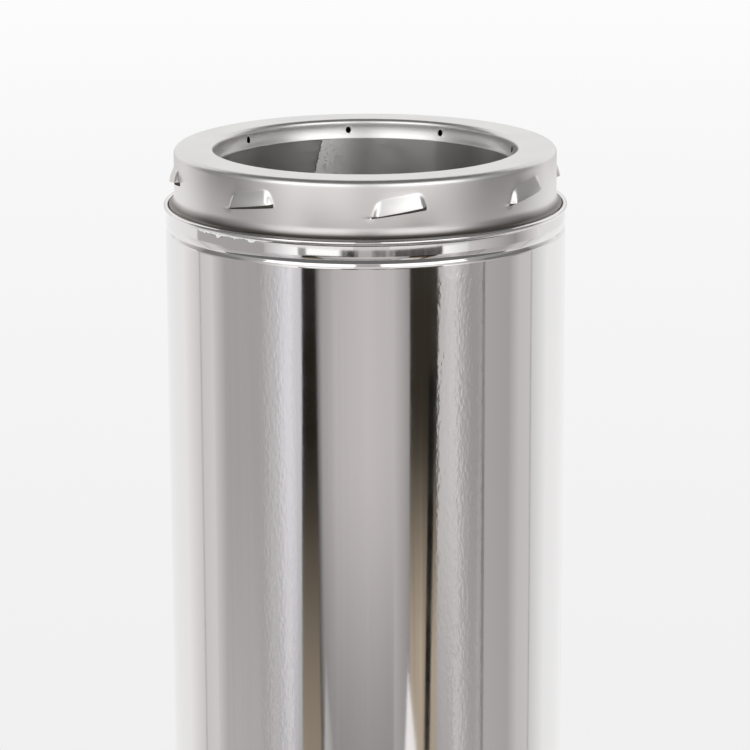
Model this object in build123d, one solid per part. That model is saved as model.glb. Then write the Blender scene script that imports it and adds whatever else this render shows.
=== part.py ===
from build123d import *

import os
from math import atan, cos, degrees, dist, hypot, radians, sin, tan

# Double-wall insulated chimney pipe section: a 6 inch flue inside an 8 inch bright shell, 36 inches long.
# The section stands on its shell's lower edge. +Z is up, and the origin is the centre of that lower edge.
# Millimetres. Angles round the pipe are in degrees from the front (-Y), positive towards +X.

# Driving sizes
LENGTH = 914.4            # lower edge to the flat top face
FLUE_DIAMETER = 152.4     # clear bore of the liner
WALL_THICKNESS = 25.4     # bore to the shell's outer face
SHELL_SHEET = 0.5
LINER_SHEET = 0.5
COUPLER_SHEET = 0.5
COUPLING_DEPTH = 28.2     # flat top face to the top of the shell's curled rim
SEAT_CLEARANCE = 0.1      # between two sheets that are pushed over each other
WELD_GAP = 0.15           # between two sheet edges that meet end to end
STACK_CLEARANCE = 0.3     # between this section's web and the top face of the section below
PACKING_CLEARANCE = 0.2   # between the blanket and the sheets round it
PACKING_DROP = 1.2        # coupler's ledge to the top of the blanket

# Shell
CURL_DIAMETER = 2.6       # rolled rim at the top
CURL_STAND_OUT = 0.95     # how far the rim stands out of the shell's face
CURL_START = -75.0        # degrees round the curl's section, from its outermost point
CURL_END = 210.0
CURL_FLATS = 4
NECK_INSET = 0.4          # the band between rim and bead is this much smaller in radius
BEAD_DROP = 39.2          # flat top face to the middle of the bead
BEAD_DEPTH = 0.9
BEAD_FLOOR = 1.2          # straight bottom of the bead
BEAD_FLANK = 2.0          # height of each sloping side of the bead
FOOT_FLANGE = 1.35        # width of the edge turned in at the bottom, from the middle of the wall

# Top coupler
THROAT_CLEARANCE = 0.5    # radial, round the liner tail of the section above
LEDGE_DEPTH = 8.6         # flat top face to the ledge on which that tail ends
LEDGE_FALL = 1.2          # height of the ledge's slope
THROAT_BEND = 1.95        # radius of the throat's mouth, at the middle of the sheet
RIM_BEND = 2.75           # radius of the outer corner, at the middle of the sheet
SKIRT_INSET = 4.6         # shell's outer face to the skirt's outer face
TROUGH_DEPTH = 2.85       # top of the curled rim to the floor of the trough
FLAT_LENGTH = 2.2         # bends are drawn as flats of about this length

# Vent holes in the throat: three places seen in the photo, the hidden rest evenly spaced
HOLE_DIAMETER = 2.8
HOLE_DROP = 5.9
SEEN_HOLES = (149.2, -173.4, -128.0)
HIDDEN_HOLES = 5

# Twist-lock lances
LANCE_COUNT = 8
LANCE_ANGLE = 9.7         # middle of the first one
LANCE_RISE = 12.85        # shell's rim to the middle of the open edge
LANCE_WIDTH = 27.0        # along the open edge
LANCE_BACK = 19.0         # along the closed edge
LANCE_HEIGHT = 7.5
LANCE_SLOPE = 9.3         # degrees, rising to the right as seen from outside
LANCE_DEPTH = 2.5         # at the open edge, from where the face slopes back to nothing at the closed one
LANCE_FLANK = 0.9         # the pressed ends move in this much for each millimetre of depth
LANCE_SLIT = 1.0          # punched gap beside the open edge
LOCK_GAP = 0.5            # between the open edges of two locked lances, along the pipe
LOCK_CLEARANCE = 0.5      # between a lower lance's crest and the skirt that passes it

# Bottom coupler
LOWER_LANCE_HEIGHT = 6.0
COLLAR_HEIGHT = 10.0      # flange up the liner, above the web
TAIL_END_GAP = 0.3        # between the liner's tail and the ledge of the section below

# Places worked out from the sizes
FLUE_R = FLUE_DIAMETER / 2
LINER_R = FLUE_R + LINER_SHEET
THROAT_R = LINER_R + THROAT_CLEARANCE
SHELL_R = FLUE_R + WALL_THICKNESS
SHELL_MID = SHELL_R - SHELL_SHEET / 2
SHELL_BORE = SHELL_R - SHELL_SHEET
NECK_MID = SHELL_MID - NECK_INSET
BEAD_MID = SHELL_MID - BEAD_DEPTH
SKIRT_R = SHELL_R - SKIRT_INSET
RIM_Z = LENGTH - COUPLING_DEPTH
TROUGH_Z = RIM_Z - TROUGH_DEPTH
BEAD_Z = LENGTH - BEAD_DROP
BEAD_TOP_Z = BEAD_Z + BEAD_FLOOR / 2 + BEAD_FLANK * (1 - NECK_INSET / BEAD_DEPTH)
LEDGE_Z = LENGTH - LEDGE_DEPTH
LEDGE_END_Z = LEDGE_Z - LEDGE_FALL
WEB_Z = COUPLING_DEPTH + STACK_CLEARANCE
WEB_TOP_Z = WEB_Z + COUPLER_SHEET
TAIL_Z = COUPLING_DEPTH - LEDGE_DEPTH + TAIL_END_GAP
LOWER_SKIRT_R = SHELL_BORE - SEAT_CLEARANCE
LOWER_SKIRT_BORE = LOWER_SKIRT_R - COUPLER_SHEET
COLLAR_BORE = LINER_R + SEAT_CLEARANCE
COLLAR_TOP_Z = WEB_Z + COLLAR_HEIGHT


def parallel(points, distance):
    """The open line of points moved sideways by distance, to its left, with mitred corners."""
    runs = [((b[0] - a[0]) / dist(a, b), (b[1] - a[1]) / dist(a, b)) for a, b in zip(points, points[1:])]
    moved = []
    for (x, y), before, after in zip(points, runs[:1] + runs, runs + runs[-1:]):
        share = distance / (1 + before[0] * after[0] + before[1] * after[1])
        moved.append((x - share * (before[1] + after[1]), y + share * (before[0] + after[0])))
    return moved


def bend(before, corner, after, radius):
    """The corner as flats along an arc of that radius, which touches both runs beside the corner."""
    back = Vector(*before) - Vector(*corner)
    on = Vector(*after) - Vector(*corner)
    half_turn = radians(180 - back.get_angle(on)) / 2
    start = Vector(*corner) + back.normalized() * radius * tan(half_turn)
    finish = Vector(*corner) + on.normalized() * radius * tan(half_turn)
    centre = Vector(*corner) + (back.normalized() + on.normalized()).normalized() * radius / cos(half_turn)
    flats = max(1, round(radius * 2 * half_turn / FLAT_LENGTH))
    swing = 2 * half_turn / flats
    points = []
    for i in range(flats + 1):
        first = sin((flats - i) * swing) / sin(flats * swing)
        last = sin(i * swing) / sin(flats * swing)
        spot = centre + (start - centre) * first + (finish - centre) * last
        points.append((spot.X, spot.Y))
    return points


def solid_ring(points):
    """A ring with the closed (radius, z) outline of points."""
    return revolve(Plane.XZ * make_face(Polyline(*points, close=True)), Axis.Z)


def sheet(points, thickness):
    """A ring of sheet: points are (radius, z) along the middle of the sheet."""
    return solid_ring(parallel(points, thickness / 2) + parallel(points, -thickness / 2)[::-1])


def tube(inner, outer, bottom, top):
    return solid_ring([(inner, bottom), (outer, bottom), (outer, top), (inner, top)])


def around(shape, angle):
    """The shape, made at the front, turned to an angle round the pipe."""
    return Rot(0, 0, angle) * shape


def outer_shell():
    """Rolled tube with its foot edge turned in, a bead below the top and a curled rim."""
    curl = CURL_DIAMETER / 2 - SHELL_SHEET / 2
    curl_r = SHELL_R + CURL_STAND_OUT - CURL_DIAMETER / 2
    curl_z = RIM_Z - CURL_DIAMETER / 2
    foot = SHELL_SHEET / 2
    step = (CURL_END - CURL_START) / CURL_FLATS
    path = [(SHELL_MID - FOOT_FLANGE, foot), (SHELL_MID, foot),
            (SHELL_MID, BEAD_Z - BEAD_FLOOR / 2 - BEAD_FLANK), (BEAD_MID, BEAD_Z - BEAD_FLOOR / 2),
            (BEAD_MID, BEAD_Z + BEAD_FLOOR / 2), (NECK_MID, BEAD_TOP_Z),
            (NECK_MID, curl_z - CURL_DIAMETER / 2)]
    for i in range(CURL_FLATS + 1):
        turn = radians(CURL_START + step * i)
        path.append((curl_r + curl * cos(turn), curl_z + curl * sin(turn)))
    return sheet(path, SHELL_SHEET)


def flue_liner():
    """Plain tube from the tail inside the foot up to the coupler's ledge."""
    return tube(FLUE_R, LINER_R, TAIL_Z, LEDGE_END_Z - COUPLER_SHEET / 2 - WELD_GAP)


def insulation():
    """Packed blanket, stepped in above to go up inside the coupler's skirt."""
    inner = COLLAR_BORE + COUPLER_SHEET + PACKING_CLEARANCE
    wide = BEAD_MID - SHELL_SHEET / 2 - PACKING_CLEARANCE
    narrow = SKIRT_R - COUPLER_SHEET - PACKING_CLEARANCE
    foot = WEB_TOP_Z + PACKING_CLEARANCE
    leg_step = BEAD_Z
    top = LEDGE_END_Z - PACKING_DROP
    return solid_ring([(inner, foot), (wide, foot), (wide, leg_step), (narrow, leg_step),
                       (narrow, top), (inner, top)])


def lance(face_r, back_r, depth, height, edge_z, opens_down):
    """The pressed scoop of one lance at the front, and the hollow to cut behind it.

    face_r is the sheet's face on the pressed side and back_r its other face.
    """
    outward = 1 if face_r > back_r else -1
    crest_r = face_r + outward * depth
    up = height if opens_down else -height
    wide = LANCE_WIDTH - LANCE_BACK / 2
    back = LANCE_BACK / 2
    reach = 4.0
    outline = make_face(Polyline((-wide, -up), (wide, -up), (back, up), (-back, up), close=True))
    start = Plane((0, outward * reach - face_r, edge_z), x_dir=(outward, 0, 0), z_dir=(0, -outward, 0))

    def block(inside, slit):
        """Block with tapering ends, under a ramp that rises from the closed edge to the open one."""
        ends = LANCE_FLANK * reach - inside * hypot(1, LANCE_FLANK)
        tapered = extrude(offset(outline, ends, kind=Kind.INTERSECTION), reach + depth + 1.0,
                          taper=degrees(atan(LANCE_FLANK)))
        ramp = Pos(0, up, reach) * Rot(-degrees(atan(depth / up)), 0, 0) * Pos(0, 0, -20 - inside)
        closed_side = Pos(0, (LANCE_WIDTH - slit) / 2 * up / height, 0) * Box(90, LANCE_WIDTH + slit, 40)
        scoop = tapered & closed_side & (ramp * Box(90, 90, 40))
        return start * Rot(0, 0, outward * LANCE_SLOPE) * scoop

    low = edge_z - LANCE_WIDTH
    high = edge_z + LANCE_WIDTH
    pressed = block(0, 0) & tube(min(back_r, crest_r), max(back_r, crest_r), low, high)
    inner_crest = crest_r - outward * COUPLER_SHEET
    past_back = back_r - outward * 1.0
    hollow = block(COUPLER_SHEET, LANCE_SLIT) & tube(
        min(past_back, inner_crest), max(past_back, inner_crest), low, high)
    return pressed, hollow


def with_lances(ring, face_r, back_r, depth, height, edge_z, opens_down):
    """The ring with its lances pressed out of the sheet, evenly spaced."""
    pressed, hollow = lance(face_r, back_r, depth, height, edge_z, opens_down)
    angles = [LANCE_ANGLE + 360 / LANCE_COUNT * i for i in range(LANCE_COUNT)]
    ring += [around(pressed, angle) for angle in angles]
    ring -= [around(hollow, angle) for angle in angles]
    return ring


def vent_angles():
    """Angles of the throat's holes: those seen, then the hidden ones spread over the rest."""
    first, last = SEEN_HOLES[0], SEEN_HOLES[-1]
    step = (first - last) / (HIDDEN_HOLES + 1)
    return list(SEEN_HOLES) + [last + step * (i + 1) for i in range(HIDDEN_HOLES)]


def top_coupler():
    """Stamped ring: ledge, throat, flat face, skirt with lances, trough, and a leg down to the bead."""
    half = COUPLER_SHEET / 2
    ledge_mid = FLUE_R + half
    throat_mid = THROAT_R + half
    skirt_mid = SKIRT_R - half
    leg_mid = NECK_MID - SHELL_SHEET / 2 - SEAT_CLEARANCE - half
    ledge, mouth, rim = (throat_mid, LEDGE_Z), (throat_mid, LENGTH - half), (skirt_mid, LENGTH - half)
    trough = (skirt_mid, TROUGH_Z - half)
    path = [(ledge_mid, LEDGE_END_Z), ledge]
    path += bend(ledge, mouth, rim, THROAT_BEND) + bend(mouth, rim, trough, RIM_BEND)
    path += [trough, (leg_mid, TROUGH_Z - half), (leg_mid, BEAD_TOP_Z + SEAT_CLEARANCE)]
    ring = sheet(path, COUPLER_SHEET)
    ring = with_lances(ring, SKIRT_R, SKIRT_R - COUPLER_SHEET, LANCE_DEPTH, LANCE_HEIGHT,
                       RIM_Z + LANCE_RISE, True)
    hole = Pos(0, -THROAT_R, LENGTH - HOLE_DROP) * Rot(90, 0, 0) * Cylinder(HOLE_DIAMETER / 2, 4)
    return ring - [around(hole, angle) for angle in vent_angles()]


def bottom_coupler():
    """Ring inside the foot: skirt with inward lances, web across the wall, and a collar up the liner."""
    half = COUPLER_SHEET / 2
    skirt_mid = LOWER_SKIRT_R - half
    foot = SHELL_SHEET + SEAT_CLEARANCE
    ring = sheet([(skirt_mid, foot), (skirt_mid, WEB_Z + half), (COLLAR_BORE + half, WEB_Z + half),
                  (COLLAR_BORE + half, COLLAR_TOP_Z)], COUPLER_SHEET)
    depth = LOWER_SKIRT_BORE - SKIRT_R - LOCK_CLEARANCE
    return with_lances(ring, LOWER_SKIRT_BORE, LOWER_SKIRT_R, depth, LOWER_LANCE_HEIGHT,
                       LANCE_RISE - LOCK_GAP, False)


os.makedirs("parts", exist_ok=True)
export_step(outer_shell(), "parts/outer_shell.step")
export_step(flue_liner(), "parts/flue_liner.step")
export_step(insulation(), "parts/insulation.step")
export_step(top_coupler(), "parts/top_coupler.step")
export_step(bottom_coupler(), "parts/bottom_coupler.step")
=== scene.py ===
from math import cos, radians, sin, tan

import bpy
import numpy as np
from mathutils import Matrix, Vector


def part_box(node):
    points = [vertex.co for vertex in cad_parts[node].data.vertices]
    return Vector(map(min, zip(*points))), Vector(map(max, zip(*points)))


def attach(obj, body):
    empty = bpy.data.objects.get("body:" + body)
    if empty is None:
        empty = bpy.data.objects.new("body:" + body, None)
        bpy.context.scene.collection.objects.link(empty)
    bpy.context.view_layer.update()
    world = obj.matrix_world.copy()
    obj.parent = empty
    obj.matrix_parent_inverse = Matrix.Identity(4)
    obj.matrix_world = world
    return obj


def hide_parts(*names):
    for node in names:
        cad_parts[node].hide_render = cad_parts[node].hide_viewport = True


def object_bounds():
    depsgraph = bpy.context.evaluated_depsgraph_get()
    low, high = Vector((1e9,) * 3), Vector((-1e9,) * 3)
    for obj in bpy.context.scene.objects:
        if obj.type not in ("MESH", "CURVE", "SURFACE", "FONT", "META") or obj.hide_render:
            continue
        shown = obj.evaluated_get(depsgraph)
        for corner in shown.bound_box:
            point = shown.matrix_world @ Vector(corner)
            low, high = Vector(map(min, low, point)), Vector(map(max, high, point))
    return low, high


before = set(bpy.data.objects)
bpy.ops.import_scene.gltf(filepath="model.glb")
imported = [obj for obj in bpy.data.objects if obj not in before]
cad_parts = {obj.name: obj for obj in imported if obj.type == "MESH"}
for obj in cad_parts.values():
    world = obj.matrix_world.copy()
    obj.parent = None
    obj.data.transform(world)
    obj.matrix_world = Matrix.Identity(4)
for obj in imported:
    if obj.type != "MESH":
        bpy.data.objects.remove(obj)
cad_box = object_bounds()

# View: a long lens from a little above the pipe's top, looking down on it by 14 degrees.
# Only the upper third of the section is in the picture.
LENS = 164.36
CAMERA_PLACE = Vector((0, -1.7107, 1.2239))
PITCH_DOWN = 0.2460
TURN_RIGHT = 0.0027
ROLL = -0.0032

ahead = Vector((sin(TURN_RIGHT) * cos(PITCH_DOWN), cos(TURN_RIGHT) * cos(PITCH_DOWN),
                -sin(PITCH_DOWN)))
level_right = Vector((cos(TURN_RIGHT), -sin(TURN_RIGHT), 0))
level_up = level_right.cross(ahead)
right = cos(ROLL) * level_right + sin(ROLL) * level_up
up = cos(ROLL) * level_up - sin(ROLL) * level_right
camera = bpy.data.objects.new("camera", bpy.data.cameras.new("camera"))
camera.data.lens = LENS
camera.data.clip_end = 60
camera.matrix_world = Matrix.Translation(CAMERA_PLACE) @ Matrix((right, up, -ahead)).transposed().to_4x4()
bpy.context.collection.objects.link(camera)
bpy.context.scene.camera = camera


# Outer shell: the 8 inch tube, rolled from bright stainless sheet. Its top edge is curled into a hollow
# rim, a shallow bead runs round it just below, and its foot is turned in a little. No seam shows from
# the front, and none is modelled.
MM = 0.001
SHEET = 0.5 * MM
(low_x, _, _), (high_x, _, rim_top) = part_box("outer_shell")
LENGTH = cad_box[1][2]
SHELL_R = 101.6 * MM
SHELL_MID = SHELL_R - SHEET / 2
NECK_MID = SHELL_MID - 0.4 * MM
NECK_FOOT = SHELL_MID - 0.06 * MM      # the neck leans in a little as it goes up
BEAD_MID = SHELL_MID - 0.75 * MM
BEAD_Z = LENGTH - 39.9 * MM            # its deepest line; the flank above it is longer than the one below
BEAD_BELOW = 2.3 * MM
BEAD_ABOVE = 3.3 * MM
BEAD_EASE = 0.3 * MM                   # straight sheet drawn in fine rows at each end of the bead
FOOT_BEND = 0.4 * MM
FOOT_WIDTH = 1.35 * MM                 # the edge turned in at the foot
CURL_R = (2.6 * MM - SHEET) / 2
CURL_CENTRE = ((high_x - low_x) / 2 - CURL_R - SHEET / 2, rim_top - CURL_R - SHEET / 2)


def arc(centre, radius, start, end, count):
    """Points (r, z) on a circle in the ring's section: centre + radius * (cos t, sin t), t in degrees."""
    turn = np.radians(np.linspace(start, end, count))
    return np.column_stack((centre[0] + radius * np.cos(turn), centre[1] + radius * np.sin(turn)))


def line(a, b, count):
    """Evenly spaced points (r, z) from a to b: a + t * (b - a)."""
    t = np.linspace(0, 1, count)[:, None]
    return np.asarray(a) + t * (np.asarray(b) - np.asarray(a))


def soft_step(x):
    """0 below 0, 1 above 1, and 3x^2 - 2x^3 between."""
    x = np.clip(x, 0, 1)
    return x * x * (3 - 2 * x)


def joined(*runs):
    """The runs of points as one line, without doubled points."""
    points = np.concatenate(runs)
    keep = np.r_[True, np.linalg.norm(np.diff(points, axis=0), axis=1) > 1e-6]
    return points[keep]


def grid_mesh(name, points, keep=None, closed=True):
    """A mesh of quads over a grid of points (rows, columns, 3), joined round its columns where closed.

    keep marks the cells that have a face.
    """
    rows, columns = points.shape[:2]
    vertex = np.arange(rows * columns).reshape(rows, columns)
    if closed:
        vertex = np.column_stack((vertex, vertex[:, :1]))
    quads = np.stack((vertex[:-1, :-1], vertex[:-1, 1:], vertex[1:, 1:], vertex[1:, :-1]), axis=-1)
    if keep is not None:
        quads = quads[keep]
    quads = quads.reshape(-1, 4)
    mesh = bpy.data.meshes.new(name)
    mesh.vertices.add(rows * columns)
    mesh.vertices.foreach_set("co", points.astype(np.float32).ravel())
    mesh.loops.add(quads.size)
    mesh.loops.foreach_set("vertex_index", quads.astype(np.int32).ravel())
    mesh.polygons.add(len(quads))
    mesh.polygons.foreach_set("loop_start", np.arange(0, quads.size, 4, dtype=np.int32))
    mesh.update(calc_edges=True)
    mesh.validate()
    return mesh


def sheet_piece(name, mesh, thickness):
    """The object of a mid-surface mesh given its sheet's thickness, half to each side."""
    piece = bpy.data.objects.new(name, mesh)
    bpy.context.collection.objects.link(piece)
    wall = piece.modifiers.new("sheet", "SOLIDIFY")
    wall.thickness = thickness
    wall.offset = 0
    evaluated = piece.evaluated_get(bpy.context.evaluated_depsgraph_get())
    solid = bpy.data.meshes.new_from_object(evaluated)
    piece.modifiers.clear()
    piece.data = solid
    solid.polygons.foreach_set("use_smooth", np.ones(len(solid.polygons), dtype=bool))
    solid.set_sharp_from_angle(angle=radians(35))
    return piece


def turned(angles, radius, z):
    """Points (r sin a, -r cos a, z): a in radians from the front (-Y) towards +X."""
    height = np.broadcast_to(z, radius.shape)
    return np.stack((radius * np.sin(angles), -radius * np.cos(angles), height), axis=-1)


shell_line = joined(
    line((SHELL_MID - FOOT_WIDTH, SHEET / 2), (SHELL_MID - FOOT_BEND, SHEET / 2), 3),
    arc((SHELL_MID - FOOT_BEND, SHEET / 2 + FOOT_BEND), FOOT_BEND, -90, 0, 5),
    line((SHELL_MID, 2 * MM), (SHELL_MID, BEAD_Z - 4 * MM), 24))
# Bead: the sheet falls to its deepest line as t^1.6, and rises from it as 1 - (1 - t)^1.6.
bead_z = np.linspace(BEAD_Z - BEAD_BELOW - BEAD_EASE, BEAD_Z + BEAD_ABOVE + BEAD_EASE, 24)
bead_fall = np.clip((bead_z - BEAD_Z + BEAD_BELOW) / BEAD_BELOW, 0, 1) ** 1.6
bead_rise = 1 - (1 - np.clip((bead_z - BEAD_Z) / BEAD_ABOVE, 0, 1)) ** 1.6
bead_r = SHELL_MID - (SHELL_MID - BEAD_MID) * bead_fall + (NECK_FOOT - BEAD_MID) * bead_rise
neck = line((NECK_FOOT, BEAD_Z + BEAD_ABOVE + 2 * BEAD_EASE), (NECK_MID, CURL_CENTRE[1] - 1.6 * MM), 4)
shell_line = joined(shell_line, np.column_stack((bead_r, bead_z)), neck,
                    arc(CURL_CENTRE, CURL_R, -75, 210, 20))

SHELL_COLUMNS = 320
around_shell = np.linspace(0, 2 * np.pi, SHELL_COLUMNS, endpoint=False)
angle_grid, r_grid = np.meshgrid(around_shell, shell_line[:, 0])
z_grid = np.broadcast_to(shell_line[:, 1:], angle_grid.shape)
# Rolled sheet is never quite round: long shallow waves, which fade out at the rim and the foot.
WAVE = 0.02 * MM
CALM_BELOW_TOP = 45 * MM
CALM_ABOVE_FOOT = 5 * MM
WAVE_FADE = 40 * MM
waves = (np.sin(7 * angle_grid + 9 * z_grid + 0.4) + 0.7 * np.sin(13 * angle_grid - 16 * z_grid + 2.1)
         + 0.5 * np.sin(23 * angle_grid + 31 * z_grid + 4.0))
calm = (soft_step((LENGTH - CALM_BELOW_TOP - z_grid) / WAVE_FADE)
        * soft_step((z_grid - CALM_ABOVE_FOOT) / WAVE_FADE))
r_grid = r_grid - WAVE * (1 + waves / 2.2) * calm
shell_mesh = grid_mesh("shell_tube", turned(angle_grid, r_grid, z_grid))
outer_shell = sheet_piece("shell_tube", shell_mesh, SHEET)


def nodes_of(name):
    """A new material, its node tree, its shader, and a function that adds nodes to the tree."""
    material = bpy.data.materials.new(name)
    material.use_nodes = True
    tree = material.node_tree
    shader = tree.nodes["Principled BSDF"]

    def add(kind, link=None, **values):
        """Adds a node: values set its inputs or settings, and link = {input: output} feeds it."""
        node = tree.nodes.new(kind)
        for key, value in values.items():
            if hasattr(node, key):
                setattr(node, key, value)
            else:
                node.inputs[key.replace("_", " ")].default_value = value
        for key, output in (link or {}).items():
            tree.links.new(output, node.inputs[key])
        return node

    return material, tree, shader, add


# Dimples were seen on two strips left and right of the front. They are placed by X, so they come
# again at the back, which isn't known.
DIMPLES_AT = 45.5 * MM           # middle of each dimpled strip, left and right of the front line
DIMPLES_FULL = 5 * MM
DIMPLES_END = 12 * MM


def drawn_steel(name, colour, roughness, grain, mottle, scratch_height, dimples=0.0):
    """Stainless sheet: fine upright rolling lines, smudges in its gloss, and two dimpled strips.

    The bump's height is the lines plus a noise of dimples, which fades from DIMPLES_FULL to
    DIMPLES_END off the strips' middles and out below the bead.
    """
    material, tree, shader, add = nodes_of(name)
    shader.inputs["Base Color"].default_value = (*colour, 1)
    shader.inputs["Metallic"].default_value = 1
    place = add("ShaderNodeTexCoord").outputs["Object"]
    upright = add("ShaderNodeMapping", {"Vector": place}, Scale=(grain, grain, grain / 90))
    lines = add("ShaderNodeTexNoise", {"Vector": upright.outputs["Vector"]}, Scale=1, Detail=4,
                Roughness=0.6).outputs["Fac"]
    smudges = add("ShaderNodeTexNoise", {"Vector": place}, Scale=38, Detail=5, Roughness=0.6)
    gloss = add("ShaderNodeMapRange", {"Value": smudges.outputs["Fac"]}, From_Min=0.3, From_Max=0.7,
                To_Min=roughness - mottle, To_Max=roughness + mottle)
    tree.links.new(gloss.outputs["Result"], shader.inputs["Roughness"])

    pits = add("ShaderNodeMapping", {"Vector": place}, Scale=(620, 620, 260)).outputs["Vector"]
    pits = add("ShaderNodeTexNoise", {"Vector": pits}, Scale=1, Detail=2, Roughness=0.5).outputs["Fac"]
    parts = add("ShaderNodeSeparateXYZ", {0: place})
    across = add("ShaderNodeMath", {0: parts.outputs["X"]}, operation="ABSOLUTE").outputs["Value"]
    off_middle = add("ShaderNodeMath", {0: across}, operation="SUBTRACT")
    off_middle.inputs[1].default_value = DIMPLES_AT
    far_off = add("ShaderNodeMath", {0: off_middle.outputs["Value"]}, operation="ABSOLUTE")
    deepest = dimples / scratch_height
    strip = add("ShaderNodeMapRange", {"Value": far_off.outputs["Value"]}, From_Min=DIMPLES_FULL,
                From_Max=DIMPLES_END, To_Min=deepest, To_Max=0.03 * deepest).outputs["Result"]
    below = add("ShaderNodeMapRange", {"Value": parts.outputs["Z"]}, From_Min=BEAD_Z - 9 * MM,
                From_Max=BEAD_Z - 3 * MM, To_Min=1, To_Max=0).outputs["Result"]
    depth = add("ShaderNodeMath", {0: strip, 1: below}, operation="MULTIPLY").outputs["Value"]
    height = add("ShaderNodeMath", {0: pits, 1: depth, 2: lines}, operation="MULTIPLY_ADD")
    bump = add("ShaderNodeBump", {"Height": height.outputs["Value"]}, Strength=1, Distance=scratch_height)
    tree.links.new(bump.outputs["Normal"], shader.inputs["Normal"])
    return material, tree, shader, add


bright_steel = drawn_steel("bright stainless", (0.873, 0.860, 0.857), 0.07, 900, 0.015, 1.5e-6, 8e-5)[0]
outer_shell.data.materials.append(bright_steel)
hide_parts("outer_shell")
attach(outer_shell, "root")

# A torn white thread is caught under the curl, front left. It is taken for the film that protects new
# sheet. Its lower edge is ragged by sines of the angle, with four longer flaps as bell curves.
FILM_START, FILM_END = radians(-55), radians(-26)
FILM_SHEET = 0.05 * MM
FLAPS = ((-44.5, 0.7, 1.7), (-32.6, 0.9, 1.3), (-50.5, 0.5, 0.7), (-38.5, 0.5, 0.6))  # degrees, degrees, mm
film_angles = np.linspace(FILM_START, FILM_END, 240)
ragged = (np.abs(np.sin(61 * film_angles) * np.sin(37 * film_angles + 1))
          + 0.6 * np.abs(np.sin(143 * film_angles)))
flaps = sum(size * np.exp(-((film_angles - radians(place)) / radians(width)) ** 2)
            for place, width, size in FLAPS)
ends = (soft_step((film_angles - FILM_START) / radians(3))
        * soft_step((FILM_END - film_angles) / radians(4)))
fall = (0.15 + 0.3 * ragged + flaps) * MM * ends
down = np.linspace(0, 1, 4)[:, None]
angle_grid = film_angles + radians(0.25) * down * np.sin(90 * film_angles)
film_points = turned(angle_grid, SHELL_R + (0.55 + 0.35 * down) * MM + 0 * film_angles,
                     CURL_CENTRE[1] - 0.95 * MM - down * fall)
film = sheet_piece("film_thread", grid_mesh("film_thread", film_points, closed=False), FILM_SHEET)
material, tree, shader, add = nodes_of("white film")
place = add("ShaderNodeTexCoord").outputs["Object"]
creases = add("ShaderNodeTexNoise", {"Vector": place}, Scale=900, Detail=3).outputs["Fac"]
whites = add("ShaderNodeMapRange", {"Value": creases}, To_Min=0.75, To_Max=1.0)
tree.links.new(whites.outputs["Result"], shader.inputs["Base Color"])
shader.inputs["Roughness"].default_value = 0.4
film.data.materials.append(material)
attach(film, "root")


# Flue liner: the 6 inch tube that carries the smoke, of duller stainless sheet with a lapped seam.
# Its top edge meets the coupler's ledge, where a weld is assumed, and its tail ends inside the foot.
(_, _, liner_bottom), (liner_r, _, liner_top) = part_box("flue_liner")
LINER_MID = liner_r - SHEET / 2
SEAM_ANGLE = radians(-163)
SEAM_LEAN = radians(1.8) / (10 * MM)      # going down it leans by 1.8 degrees in each centimetre
LEAN_END = 30 * MM                        # and runs straight down from here
SEAM_DIP = (0.5 * MM, 0.95 * MM)          # on each side of the seam the sheet dips towards it
SEAM_GAP = 1.6 * MM                       # depth of the gap along the lap
SEAM_JAG = 0.5 * MM                       # its edge is cut unevenly
ROUGH_SHEEN_WIDTH = 15 * MM
seam_side = np.r_[-60, -40, -25, -15, -9, -5, -2.5, -1, -0.3, 0, 0.05, 0.65, 0.7,
                  1.5, 3, 6, 10, 16, 25, 40, 60] * MM
round_liner = 2 * np.pi * LINER_MID
around_liner = np.r_[seam_side, np.linspace(60 * MM, round_liner - 60 * MM, 150)[1:-1]]
liner_z = np.r_[np.linspace(liner_bottom, liner_top - 60 * MM, 16),
                np.linspace(liner_top - 56 * MM, liner_top, 70)]
side_grid, z_grid = np.meshgrid(around_liner, liner_z)
from_seam = np.minimum(np.abs(side_grid), round_liner - np.abs(side_grid))
near = np.exp(-(from_seam / (30 * MM)) ** 2)
lean = SEAM_LEAN * np.minimum(liner_top - z_grid, LEAN_END)
jag = SEAM_JAG * np.sin(2100 * z_grid) * np.sin(900 * z_grid + 1)
angle_grid = SEAM_ANGLE + side_grid / LINER_MID + near * (lean + jag / LINER_MID)
in_gap = (side_grid > 0.01 * MM) & (side_grid < 0.68 * MM)
r_grid = (LINER_MID + np.where(side_grid <= 0, *SEAM_DIP) * np.exp(-from_seam / (9 * MM))
          + SEAM_GAP * in_gap)
liner_mesh = grid_mesh("liner_tube", turned(angle_grid, r_grid, z_grid))
# The side of the seam that is rougher and painted paler (painted sheen), fading off the seam.
rough_sheen_side = np.where(side_grid < 0, np.exp(-(side_grid / ROUGH_SHEEN_WIDTH) ** 2), 0).astype(np.float32)
liner_mesh.attributes.new("rough_sheen_side", "FLOAT", "POINT").data.foreach_set("value", rough_sheen_side.ravel())
flue_liner = sheet_piece("liner_tube", liner_mesh, SHEET)

dull_steel, tree, shader, add = drawn_steel("satin stainless", (0.54, 0.53, 0.515), 0.34, 700, 0.08,
                                            4e-6, 8e-6)
# Assumed: a polish round the tube, which draws its reflections out up and down.
shader.inputs["Anisotropic"].default_value = 0.8
shader.inputs["Anisotropic Rotation"].default_value = 0.25
polish = add("ShaderNodeTangent", direction_type="RADIAL", axis="Z")
tree.links.new(polish.outputs["Tangent"], shader.inputs["Tangent"])
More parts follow.
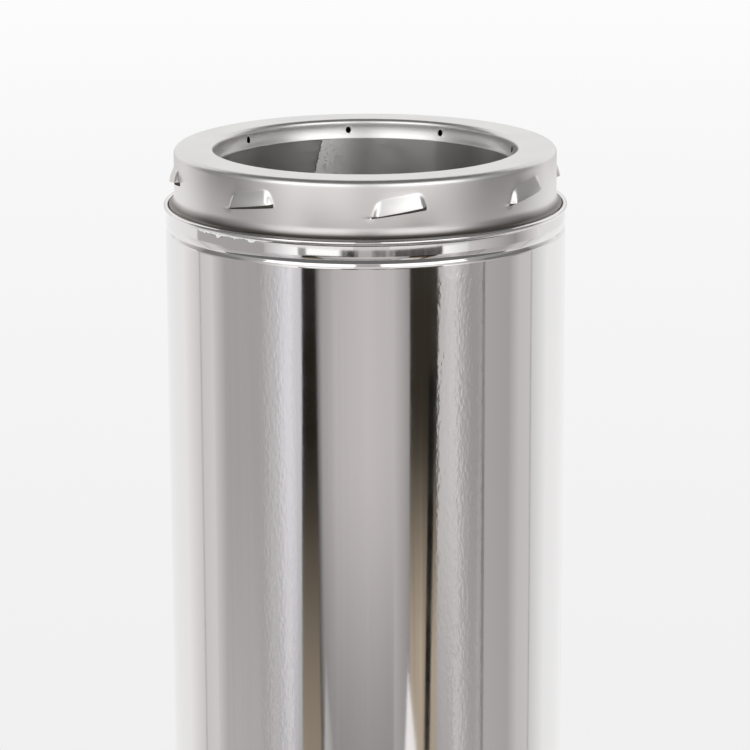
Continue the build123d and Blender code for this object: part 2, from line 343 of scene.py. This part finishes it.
# On one side of the seam the sheet is rougher in patches, and its colour is painted paler: a painted sheen.
rough_sheen_share = add("ShaderNodeAttribute", attribute_name="rough_sheen_side").outputs["Fac"]
place = tree.nodes["Texture Coordinate"].outputs["Object"]
patches = add("ShaderNodeTexNoise", {"Vector": place}, Scale=620, Detail=4).outputs["Fac"]
patchy = add("ShaderNodeMapRange", {"Value": patches}, From_Min=0.35, From_Max=0.6,
             To_Min=-0.04, To_Max=0.28)
gloss = shader.inputs["Roughness"].links[0].from_socket
rougher = add("ShaderNodeMath", {0: rough_sheen_share, 1: patchy.outputs["Result"], 2: gloss},
              operation="MULTIPLY_ADD", use_clamp=True)
tree.links.new(rougher.outputs["Value"], shader.inputs["Roughness"])
# Painted sheen: the paler colour on that side of the seam.
painted_sheen = add("ShaderNodeMix", {"Factor": rough_sheen_share}, data_type="RGBA")
painted_sheen.inputs[6].default_value = shader.inputs["Base Color"].default_value
painted_sheen.inputs[7].default_value = (0.95, 0.94, 0.92, 1)
tree.links.new(painted_sheen.outputs[2], shader.inputs["Base Color"])
flue_liner.data.materials.append(dull_steel)
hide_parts("flue_liner")
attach(flue_liner, "root")


# Insulation: loose fibre packed between the two tubes and closed in by the couplers. Nothing of it
# shows on a whole section, so its kind and colour are assumed, and it keeps its plain solid. Its colour
# is also painted darker: painted shade, for the shadow it lies in behind the lance slits.
material, tree, shader, add = nodes_of("packed fibre")
place = add("ShaderNodeTexCoord").outputs["Object"]
clumps = add("ShaderNodeTexNoise", {"Vector": place}, Scale=160, Detail=8, Roughness=0.7).outputs["Fac"]
# Painted shade: both of the fibre's colours are darkened for the shadow it lies in.
fibre_shade_colour = add("ShaderNodeMix", {"Factor": clumps}, data_type="RGBA")
fibre_shade_colour.inputs[6].default_value = (0.05, 0.045, 0.04, 1)
fibre_shade_colour.inputs[7].default_value = (0.20, 0.18, 0.15, 1)
tree.links.new(fibre_shade_colour.outputs[2], shader.inputs["Base Color"])
shader.inputs["Roughness"].default_value = 0.95
tufts = add("ShaderNodeBump", {"Height": clumps}, Distance=0.002)
tree.links.new(tufts.outputs["Normal"], shader.inputs["Normal"])
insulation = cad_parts["insulation"]
insulation.data.materials.clear()
insulation.data.materials.append(material)


# Top coupler: one ring pressed from stainless sheet. From inside outwards it is a ledge under a short
# throat with vent holes, a flat face, a skirt with eight outward lances, a trough, and a leg inside
# the shell's neck. The next section drops over the skirt and is turned to lock.
LANCE_COUNT = 8
LANCE_ANGLE = radians(9.7)
LANCE_WIDTH = 27 * MM
LANCE_BACK = 23 * MM
LANCE_SLOPE = tan(radians(9.3))
LANCE_SLIT = 1.5 * MM
LANCE_CORNER = 1.6 * MM          # how far its upper corners are rounded in
PRESS_FLANK = 2.8 * MM           # over this width the sheet rises at the lance's ends
PITCH = 2 * np.pi / LANCE_COUNT
LEAN_SIDES = 9 * MM              # beside a lance the sloping rows come back to level over this width
LEAN_ENDS = 2.4 * MM             # and above and below it over this height
COLUMN_MARGIN = 10 * MM          # of finer columns beside a lance
HOLE_R = 1.4 * MM
HOLE_STRETCH = 0.45              # the upper half of a vent hole is this much longer than round


def ring_angles(radius, holes):
    """Angles of the columns: close together along each lance and at each hole, wider between."""
    half = LANCE_WIDTH / 2
    beside = half + np.r_[1.2, 3, 6, 10] * MM
    along = np.r_[np.linspace(-half, half, 31), beside, -beside]
    free = PITCH * radius - LANCE_WIDTH - 2 * COLUMN_MARGIN
    between = half + COLUMN_MARGIN + np.linspace(0, free, 8)[1:-1]
    one = np.r_[along, between] / radius
    lances = (LANCE_ANGLE + PITCH * np.arange(LANCE_COUNT))[:, None] + one
    cuts = np.asarray(holes).reshape(-1, 1) + np.linspace(-2, 2, 13) * HOLE_R / THROAT_MID
    angles = np.r_[lances.ravel(), cuts.ravel()] % (2 * np.pi)
    return np.unique(np.round(angles, 6))


def pressed_ring(name, path, radius, depth, height, edge_z, opens_down, holes=(), hole_z=0):
    """A coupler's sheet: its path (r, z) turned round the axis, with lances pressed out of the skirt.

    In a lance, rows of the skirt lean with its open edge. The sheet moves out by depth times
    1 - t^1.3, t from 0 at the open edge to 1 at the closed one, times a soft step in from the sloping
    ends, and the cells of the slit beside the open edge have no face. A hole's square of cells is
    drawn in to a circle, its upper half is stretched, and it is left empty.
    """
    angles = ring_angles(radius, holes)
    angle_grid, r_grid = np.meshgrid(angles, path[:, 0])
    z_grid = np.repeat(path[:, 1:], len(angles), axis=1)
    centre = LANCE_ANGLE + PITCH * np.round((angle_grid - LANCE_ANGLE) / PITCH)
    x = (angle_grid - centre) * radius
    on_skirt = np.abs(r_grid - radius) < 1e-6
    up = (z_grid - edge_z) * (1 if opens_down else -1)
    share = np.clip(up / height, 0, 1)

    half_width = LANCE_WIDTH / 2 - (LANCE_WIDTH - LANCE_BACK) / 2 * share - LANCE_CORNER * share ** 6
    side = soft_step((half_width - np.abs(x)) / PRESS_FLANK)
    pressed = depth * side * (1 - share ** 1.3) * (up > -1e-7) * on_skirt
    fade = soft_step(1 - (np.abs(x) - LANCE_WIDTH / 2) / LEAN_SIDES)
    reach = soft_step(1 - (np.abs(up - height / 2) - height * 0.6) / LEAN_ENDS)
    leaning = x * LANCE_SLOPE * fade * reach * on_skirt

    cell_up = (up[:-1, :-1] + up[1:, 1:]) / 2
    farther = np.maximum(np.abs(x), np.abs(np.roll(x, -1, axis=1)))[:-1]
    slit = (cell_up < 0) & (cell_up > -LANCE_SLIT) & on_skirt[:-1, :-1] & on_skirt[1:, :-1]
    slit = np.column_stack((slit, slit[:, -1:])) & (farther < LANCE_WIDTH / 2 + 1e-6)
    keep = ~slit
    r_grid = r_grid + pressed
    z_grid = z_grid + leaning
    for hole in holes:
        across = ((angle_grid - hole + np.pi) % (2 * np.pi) - np.pi) * THROAT_MID
        tall = path[:, 1:] - hole_z
        in_throat = (np.abs(path[:, :1] - THROAT_MID) < 0.5 * MM) & (np.abs(tall) < 2.2 * HOLE_R)
        square = np.maximum(np.abs(across), np.abs(tall))
        round_off = square / np.maximum(np.hypot(across, tall), 1e-9)
        share = soft_step(2 - square / HOLE_R) * in_throat
        scale = 1 + (round_off - 1) * share
        angle_grid = angle_grid + across * (scale - 1) / THROAT_MID
        z_grid = z_grid + tall * (scale - 1) + np.maximum(tall, 0) * HOLE_STRETCH * share
        wide = np.maximum(np.abs(across), np.abs(np.roll(across, -1, axis=1)))[:-1]
        high = np.maximum(np.abs(tall[:-1]), np.abs(tall[1:]))
        keep &= ~((wide < HOLE_R + 1e-6) & (high < HOLE_R + 1e-6) & in_throat[:-1] & in_throat[1:])
    return sheet_piece(name, grid_mesh(name, turned(angle_grid, r_grid, z_grid), keep), SHEET)


TOP_MID = LENGTH - SHEET / 2
LEDGE_MID = liner_r - SHEET / 2
THROAT_MID = liner_r + 0.5 * MM + SHEET / 2
LEDGE_Z = LENGTH - 8.6 * MM
MOUTH_R = 1.95 * MM
RIM_R = 2.75 * MM
SKIRT_MID = SHELL_R - 4.6 * MM - SHEET / 2
TROUGH_Z = rim_top - 2.85 * MM - SHEET / 2
LEG_MID = NECK_MID - SHEET - 0.1 * MM
EDGE_Z = rim_top + 12.85 * MM
HOLE_Z = LENGTH - 5.9 * MM
LANCE_HEIGHT = 7.5 * MM
LANCE_DEPTH = 2.5 * MM
# Three vent holes were seen, at angles of their own. The five hidden ones are spread evenly.
SEEN_HOLES = (149.2, -173.4, -128.0)
hidden = -128 + (149.2 + 128) / 6 * np.arange(1, 6)
vent_holes = np.radians(np.r_[SEEN_HOLES, hidden])

THROAT_LEAN = 0.55 * MM          # the throat narrows a little towards the ledge, as a parabola
throat_z = HOLE_Z + np.r_[-1.5, -1.25, np.linspace(-1, 1, 7), 1.3, 1.6, 2] * HOLE_R
throat_r = THROAT_MID - THROAT_LEAN * ((throat_z[-1] - throat_z) / (throat_z[-1] - throat_z[0])) ** 2
# The skirt's foot: a wide bend outwards, which then turns under itself into the trough.
FLARE_R = 8 * MM
FLARE_TURN = 38
FLARE_FOOT = 1.5 * MM
TROUGH_START = SKIRT_MID + 2.9 * MM
TROUGH_BEND = 0.8 * MM
flare_cos, flare_sin = cos(radians(FLARE_TURN)), sin(radians(FLARE_TURN))
flare_top = rim_top + 5.4 * MM
flare_end = (SKIRT_MID + FLARE_R * (1 - flare_cos), flare_top - FLARE_R * flare_sin)
foot_centre = (flare_end[0] + FLARE_FOOT * flare_cos, flare_end[1] + FLARE_FOOT * flare_sin)
skirt_z = np.r_[np.linspace(flare_top + 0.4 * MM, EDGE_Z - LANCE_SLIT, 5), EDGE_Z,
                EDGE_Z + np.linspace(0.6 * MM, LANCE_HEIGHT + 0.4 * MM, 13),
                TOP_MID - RIM_R - np.r_[1.6, 0.8, 0] * MM]
skirt_z = np.unique(np.round(skirt_z, 7))[::-1]
coupler_path = joined(
    line((LEDGE_MID + 0.2 * MM, LEDGE_Z - 1.6 * MM), (LEDGE_MID - 0.12 * MM, LEDGE_Z - 1.4 * MM), 2),
    line((LEDGE_MID - 0.1 * MM, LEDGE_Z - 1.2 * MM), (throat_r[0] - 0.1 * MM, LEDGE_Z + 0.25 * MM), 4),
    np.column_stack((throat_r, throat_z)),
    arc((THROAT_MID + MOUTH_R, TOP_MID - MOUTH_R), MOUTH_R, 180, 90, 8),
    line((THROAT_MID + MOUTH_R, TOP_MID), (SKIRT_MID - RIM_R, TOP_MID), 8),
    arc((SKIRT_MID - RIM_R, TOP_MID - RIM_R), RIM_R, 90, 0, 9),
    np.column_stack((np.full(len(skirt_z), SKIRT_MID), skirt_z)),
    arc((SKIRT_MID + FLARE_R, flare_top), FLARE_R, 180, 180 + FLARE_TURN, 12),
    arc(foot_centre, FLARE_FOOT, 180 + FLARE_TURN, 262, 7)[1:],
    line((TROUGH_START, TROUGH_Z + 2.2 * MM), (TROUGH_START, TROUGH_Z + 0.5 * MM), 3),
    arc((LEG_MID - TROUGH_BEND, TROUGH_Z - TROUGH_BEND), TROUGH_BEND, 90, 0, 5),
    line((LEG_MID, TROUGH_Z - 1.2 * MM), (LEG_MID, BEAD_Z + 2.6 * MM), 3))
top_coupler = pressed_ring("coupler_ring", coupler_path, SKIRT_MID, LANCE_DEPTH, LANCE_HEIGHT, EDGE_Z, True,
                           vent_holes, HOLE_Z)
ring_steel, tree, shader, add = drawn_steel("pressed stainless", (0.852, 0.841, 0.832), 0.32, 500, 0.03,
                                            1.5e-6)
# Towards the trough the sheet is painted darker: painted shade for the recess under the curl. Assumed:
# dirt that stays there, though it may be only shade. The foot's ring keeps its colour.
place = tree.nodes["Texture Coordinate"].outputs["Object"]
height = add("ShaderNodeSeparateXYZ", {0: place}).outputs["Z"]
unshaded_above = add("ShaderNodeMapRange", {"Value": height}, From_Min=rim_top + 1.3 * MM,
                  From_Max=rim_top + 4.4 * MM).outputs["Result"]
unshaded_below = add("ShaderNodeMapRange", {"Value": height}, From_Min=0.2, From_Max=0.1).outputs["Result"]
unshaded_share = add("ShaderNodeMath", {0: unshaded_above, 1: unshaded_below}, operation="MAXIMUM").outputs["Value"]
trough_shade_mix = add("ShaderNodeMix", {"Factor": unshaded_share}, data_type="RGBA")
# Painted shade: the dark colour that the sheet takes towards the trough.
trough_shade_mix.inputs[6].default_value = (0.20, 0.185, 0.17, 1)
trough_shade_mix.inputs[7].default_value = shader.inputs["Base Color"].default_value
tree.links.new(trough_shade_mix.outputs[2], shader.inputs["Base Color"])
top_coupler.data.materials.append(ring_steel)
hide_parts("top_coupler")
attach(top_coupler, "root")


# Bottom coupler: the ring inside the foot. It wasn't seen, and is worked out from the top one, of the
# same sheet. Its skirt stands on the shell's turned-in edge and has the inward lances, its web closes
# the wall, and its collar holds the liner.
(_, _, foot_bottom), (foot_r, _, collar_top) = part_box("bottom_coupler")
LOWER_SKIRT_MID = foot_r - SHEET / 2
COLLAR_MID = liner_r + 0.1 * MM + SHEET / 2
WEB_MID = 28.2 * MM + 0.3 * MM + SHEET / 2
LOWER_EDGE_Z = 12.35 * MM
LOWER_DEPTH = -3.0 * MM
LOWER_HEIGHT = 6.0 * MM
WEB_BEND = 0.9 * MM
lower_z = np.r_[np.linspace(foot_bottom, LOWER_EDGE_Z - LOWER_HEIGHT - 0.8 * MM, 4),
                LOWER_EDGE_Z - np.linspace(0.6 * MM, LOWER_HEIGHT + 0.4 * MM, 11), LOWER_EDGE_Z,
                LOWER_EDGE_Z + LANCE_SLIT,
                np.linspace(LOWER_EDGE_Z + LANCE_SLIT + 1.6 * MM, WEB_MID - 1.5 * MM, 5)]
lower_z = np.unique(np.round(lower_z, 7))
foot_path = joined(
    np.column_stack((np.full(len(lower_z), LOWER_SKIRT_MID), lower_z)),
    arc((LOWER_SKIRT_MID - WEB_BEND, WEB_MID - WEB_BEND), WEB_BEND, 0, 90, 6),
    line((LOWER_SKIRT_MID - 2 * MM, WEB_MID), (COLLAR_MID + 2 * MM, WEB_MID), 6),
    arc((COLLAR_MID + WEB_BEND, WEB_MID + WEB_BEND), WEB_BEND, 270, 180, 6),
    line((COLLAR_MID, WEB_MID + 2 * MM), (COLLAR_MID, collar_top), 4))
bottom_coupler = pressed_ring("foot_ring", foot_path, LOWER_SKIRT_MID, LOWER_DEPTH, LOWER_HEIGHT,
                              LOWER_EDGE_Z, False)
bottom_coupler.data.materials.append(ring_steel)
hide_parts("bottom_coupler")
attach(bottom_coupler, "root")


# Studio: a pale floor that runs back to white, one broad soft lamp overhead, and curved cards round
# the pipe that only its reflections see. The cards are no part of the object, and no plain soft light
# either: their angles and levels were fitted to one view, from the front and 14 degrees up. The bands
# of light and dark on the steel come from them.
CARD_DISTANCE = 1.5
PINKISH = (1.022, 0.991, 0.984)
ROSY = (1.032, 0.985, 0.975)
WHITE = (1, 1, 1)
BLUISH = (1.0, 0.99, 1.02)
TAN = (1.2, 1.0, 0.76)


def reflected_only(name, mesh, light, streaks=0.0):
    """A stage object that shows in reflections alone. It glows with light (one colour a vertex)."""
    colours = np.column_stack((light, np.ones(len(light)))).astype(np.float32)
    mesh.attributes.new("light", "FLOAT_COLOR", "POINT").data.foreach_set("color", colours.ravel())
    panel = bpy.data.objects.new(name, mesh)
    bpy.context.collection.objects.link(panel)
    material, tree, shader, add = nodes_of(name)
    glow = add("ShaderNodeEmission")
    tree.links.new(add("ShaderNodeAttribute", attribute_name="light").outputs["Color"], glow.inputs["Color"])
    if streaks:
        place = add("ShaderNodeTexCoord").outputs["Object"]
        upright = add("ShaderNodeMapping", {"Vector": place}, Scale=(22, 22, 1.5)).outputs["Vector"]
        uneven = add("ShaderNodeTexNoise", {"Vector": upright}, Scale=1, Detail=5, Roughness=0.7)
        strength = add("ShaderNodeMapRange", {"Value": uneven.outputs["Fac"]}, From_Min=0.3, From_Max=0.7,
                       To_Min=1 - streaks, To_Max=1 + streaks)
        tree.links.new(strength.outputs["Result"], glow.inputs["Strength"])
    tree.links.new(glow.outputs["Emission"], tree.nodes["Material Output"].inputs["Surface"])
    tree.nodes.remove(shader)
    mesh.materials.append(material)
    panel.visible_camera = panel.visible_diffuse = panel.visible_shadow = panel.visible_transmission = False


def card(name, left, right_side, bottom, top, level, far_level=None, foot=None, fade=(0.42, 0.06),
         tint=PINKISH, streaks=0.0, distance=CARD_DISTANCE):
    """A curved card between two angles round the pipe, in degrees, each a number or a pair (bottom, top).

    Its light goes evenly from level at the left edge to far_level at the right one. Where foot is
    given, it changes by a soft step to foot times that between the two heights of fade, going down.
    """
    share_grid, z_grid = np.meshgrid(np.linspace(0, 1, 16), np.linspace(bottom, top, 28))
    height = (z_grid - bottom) / (top - bottom)
    (left_low, left_top), (right_low, right_top) = np.broadcast_to(left, 2), np.broadcast_to(right_side, 2)
    edges = (left_low + (left_top - left_low) * height, right_low + (right_top - right_low) * height)
    angle_grid = np.radians(edges[0] + (edges[1] - edges[0]) * share_grid)
    light = level + ((level if far_level is None else far_level) - level) * share_grid
    if foot:
        light = light * (1 + (foot - 1) * soft_step((fade[0] - z_grid) / (fade[0] - fade[1])))
    points = turned(angle_grid, np.full(angle_grid.shape, distance), z_grid)
    reflected_only(name, grid_mesh(name, points, closed=False), light.reshape(-1, 1) * tint, streaks)


def level_card(name, left, right_side, near, far, z, level):
    """A flat card overhead or on the floor, between two angles and two distances from the pipe's axis."""
    angle_grid, r_grid = np.meshgrid(np.radians(np.linspace(left, right_side, 48)), np.linspace(near, far, 4))
    reflected_only(name, grid_mesh(name, turned(angle_grid, r_grid, z), closed=False),
                   np.full((angle_grid.size, 3), level))


# Low tier: what the upright shell reflects, from the back round by the left and the front to the right.
LOW = (0.02, 0.60)
card("low left back", -170, -127, *LOW, 0.90, 0.86, tint=WHITE)
card("low left side", -127, -107.5, *LOW, 0.88, 0.64)
card("low left joint", -107.5, -106.4, *LOW, 0.42)
card("low left side front", -106.4, -95, *LOW, 0.62, 0.67)
card("low left corner", -95, -86, *LOW, 0.62, 0.42)
card("left panel", -86, -62, *LOW, 0.40, 0.385, foot=1.15, streaks=0.05)
card("left panel edge", -62, -52, *LOW, 0.37, 0.52, streaks=0.22)
card("left light", -52, -42, *LOW, 0.54, 0.78, foot=0.85, tint=BLUISH, streaks=0.26)
card("left light edge", -42, (-37.2, -35.2), *LOW, 0.76, 0.62, foot=0.7, tint=BLUISH, streaks=0.15)
card("left gap", (-37.4, -35.2), (-25.5, -28), *LOW, 0.012, foot=21, tint=TAN)
card("left gap edge", (-25.5, -28), (-22.5, -25), *LOW, 0.05, 0.36, foot=0.8)
card("front panel left", (-22.5, -25), -16, *LOW, 0.36, 0.50, foot=0.62, streaks=0.09, tint=ROSY)
card("front panel", -16, 0, *LOW, 0.50, 0.575, foot=0.55, streaks=0.03, tint=ROSY)
card("front panel right", 0, 15, *LOW, 0.575, 0.53, foot=0.55, streaks=0.03, tint=ROSY)
card("front panel edge", 15, 24, *LOW, 0.53, 0.31, foot=0.8, tint=ROSY)
card("right gap", 24, (38, 40.3), *LOW, 0.028, foot=13, fade=(0.44, 0.17), tint=TAN, streaks=0.35)
card("right gap strip", (31.5, 35), (34.6, 38.6), 0.02, 0.47, 0.008, distance=1.49)
card("left wedge", (-25, -23.2), (-15, -22.8), 0.02, 0.19, 0.5, 0.36, distance=1.48)
card("right wedge", (19.2, 22.8), (33.2, 23), 0.02, 0.187, 0.93, distance=1.48)
card("right light", (38, 40.3), 50, *LOW, 0.53, 0.63, foot=0.72, streaks=0.12)
card("right light edge", 50, 60, *LOW, 0.62, 0.33, foot=1.05, streaks=0.22)
card("right panel", 60, 68.4, *LOW, 0.33, 0.38, foot=1.1, streaks=0.2)
card("right panel joint", 68.4, 69.5, *LOW, 0.2)
card("right panel back", 69.5, 88, *LOW, 0.42, 0.385, foot=1.05)
card("low right corner", 88, 96, *LOW, 0.41, 0.57)
card("low right side front", 96, 106.4, *LOW, 0.57, 0.60)
card("low right joint", 106.4, 107.5, *LOW, 0.40)
card("low right side", 107.5, 125, *LOW, 0.64, 0.88, tint=WHITE)
card("low right back", 125, 165, *LOW, 0.88, 0.92, tint=WHITE)
card("low back right", 165, 175, *LOW, 0.90, 0.6)
card("back gap", 175, 185, *LOW, 0.06)
card("low back left", 185, 190, *LOW, 0.6, 0.9)
# Middle tier: what the neck reflects, since it leans in a little. Some cards hang just in front of others.
MIDDLE = (0.60, 0.90)
card("middle left back", -170, -108, *MIDDLE, 0.95, 0.80, tint=WHITE)
card("middle left", -108, -57, *MIDDLE, 0.42, 0.38)
card("middle left rise", -57, -37, *MIDDLE, 0.5, 1.15, tint=WHITE)
card("middle left edge", -37, -32.5, *MIDDLE, 0.33)
card("middle left bright", -32.5, -14, *MIDDLE, 1.15, tint=WHITE)
card("middle left strip", -32.5, -8, 0.60, 0.69, 0.12, streaks=0.5, distance=1.49)
card("middle front", -13, 16, *MIDDLE, 0.20, 0.26, streaks=0.9)
card("middle front strip", -9.5, -6, *MIDDLE, 0.05, distance=1.49)
card("middle front patch", -4, 3.5, 0.60, 0.82, 0.45, distance=1.49)
card("middle right gap", 16, 42.5, *MIDDLE, 0.09, streaks=0.6)
card("middle right bright", 42.5, 58, *MIDDLE, 1.1, 0.75, tint=WHITE)
card("middle right", 58, 92, *MIDDLE, 0.62, 0.30)
card("middle right rise", 92, 112, *MIDDLE, 0.33, 0.74)
card("middle right back", 112, 190, *MIDDLE, 0.78, 0.92, tint=WHITE)
# Near tier: low cards close to the pipe, which only the coupler's skirt reflects.
NEAR = (0.876, 0.915)
for name, left, right_side, level, far_level in (
        ("near left back", -165, -112, 0.7, 0.7),
        ("near right back", 112, 165, 0.7, 0.7),
        ("near left end", -112, -82, 0.90, 0.28),
        ("near left", -82, -58, 0.20, 0.20),
        ("near left rise", -58, -36, 0.25, 0.75),
        ("near front left", -36, -5, 0.88, 0.88),
        ("near front", -5, 10, 0.66, 0.66),
        ("near front right", 10, 30, 0.82, 0.82),
        ("near right rise", 30, 54, 0.74, 0.25),
        ("near right", 54, 84, 0.18, 0.18),
        ("near right end", 84, 112, 0.3, 0.9)):
    card(name, left, right_side, *NEAR, level, far_level, distance=0.2)
# High tier and cover: what turned-up edges and the flat face reflect.
HIGH = (0.90, 2.30)
card("high left", -118, -60, *HIGH, 0.10, 0.42, tint=WHITE)
card("high front left", -60, -6, *HIGH, 1.5, tint=WHITE)
card("high front", -6, 9, *HIGH, 0.42)
card("high front right", 9, 60, *HIGH, 1.5, tint=WHITE)
card("high right", 60, 118, *HIGH, 0.36, 0.20, tint=WHITE)
card("high back", 118, 242, *HIGH, 0.90, tint=WHITE)
level_card("high cover", -180, 180, 0.0, 1.52, 2.31, 0.14)
level_card("dark floor", -95, 95, 0.35, 1.47, 0.006, 0.15)

# The lamp lights what isn't bright metal: the floor, the fibre and the film.
LAMP_PLACE = Vector((-0.5, -0.4, 2.6))
LAMP_AIM = Vector((0, 0, 0.6))
lamp = bpy.data.objects.new("overhead lamp", bpy.data.lights.new("overhead lamp", "AREA"))
lamp.data.shape = "DISK"
lamp.data.size = 2.0
lamp.data.energy = 18
lamp.location = LAMP_PLACE
lamp.rotation_euler = (LAMP_AIM - LAMP_PLACE).to_track_quat("-Z", "Y").to_euler()
lamp.visible_glossy = False
bpy.context.collection.objects.link(lamp)

# The floor is pale and takes the pipe's shadow. Away from the pipe the camera sees it glow ever whiter.
FLOOR = 30.0
SHADOW_END = (0.5, 1.4)
WHITE_START, WHITE_END = 1.6, 8.0
floor_mesh = bpy.data.meshes.new("floor")
floor_mesh.from_pydata([(-FLOOR, -FLOOR, 0), (FLOOR, -FLOOR, 0), (FLOOR, FLOOR, 0), (-FLOOR, FLOOR, 0)], [],
                       [(0, 1, 2, 3)])
floor = bpy.data.objects.new("floor", floor_mesh)
bpy.context.collection.objects.link(floor)
material, tree, shader, add = nodes_of("floor")
shader.inputs["Base Color"].default_value = (0.82, 0.82, 0.82, 1)
shader.inputs["Roughness"].default_value = 0.9
shader.inputs["Specular IOR Level"].default_value = 0.1
place = add("ShaderNodeTexCoord").outputs["Object"]
away = add("ShaderNodeVectorMath", {0: place}, operation="LENGTH").outputs["Value"]
whiteness = add("ShaderNodeMapRange", {"Value": away}, From_Min=WHITE_START, From_Max=WHITE_END,
                To_Min=0.875, To_Max=0.99)
glow = add("ShaderNodeEmission", {"Strength": whiteness.outputs["Result"]})
past_shadow = add("ShaderNodeMapRange", {"Value": away}, From_Min=SHADOW_END[0], From_Max=SHADOW_END[1])
seen = add("ShaderNodeLightPath").outputs["Is Camera Ray"]
share = add("ShaderNodeMath", {0: past_shadow.outputs["Result"], 1: seen}, operation="MULTIPLY")
mixed = add("ShaderNodeMixShader", {0: share.outputs["Value"], 1: shader.outputs["BSDF"],
                                    2: glow.outputs["Emission"]})
tree.links.new(mixed.outputs["Shader"], tree.nodes["Material Output"].inputs["Surface"])
floor_mesh.materials.append(material)

# The world gives even light, and is white where it is seen, in a reflection or through glass too.
world = bpy.data.worlds.new("studio")
bpy.context.scene.world = world
world.use_nodes = True
tree = world.node_tree
paths = tree.nodes.new("ShaderNodeLightPath").outputs
seen = paths["Is Camera Ray"]
for kind in ("Is Glossy Ray", "Is Transmission Ray"):
    either = tree.nodes.new("ShaderNodeMath")
    either.operation = "MAXIMUM"
    tree.links.new(seen, either.inputs[0])
    tree.links.new(paths[kind], either.inputs[1])
    seen = either.outputs["Value"]
strength = tree.nodes.new("ShaderNodeMapRange")
strength.inputs["To Min"].default_value = 0.75
strength.inputs["To Max"].default_value = 1.0
background = tree.nodes["Background"]
background.inputs["Color"].default_value = (1, 1, 1, 1)
tree.links.new(seen, strength.inputs["Value"])
tree.links.new(strength.outputs["Result"], background.inputs["Strength"])
bpy.context.scene.view_settings.view_transform = "Standard"
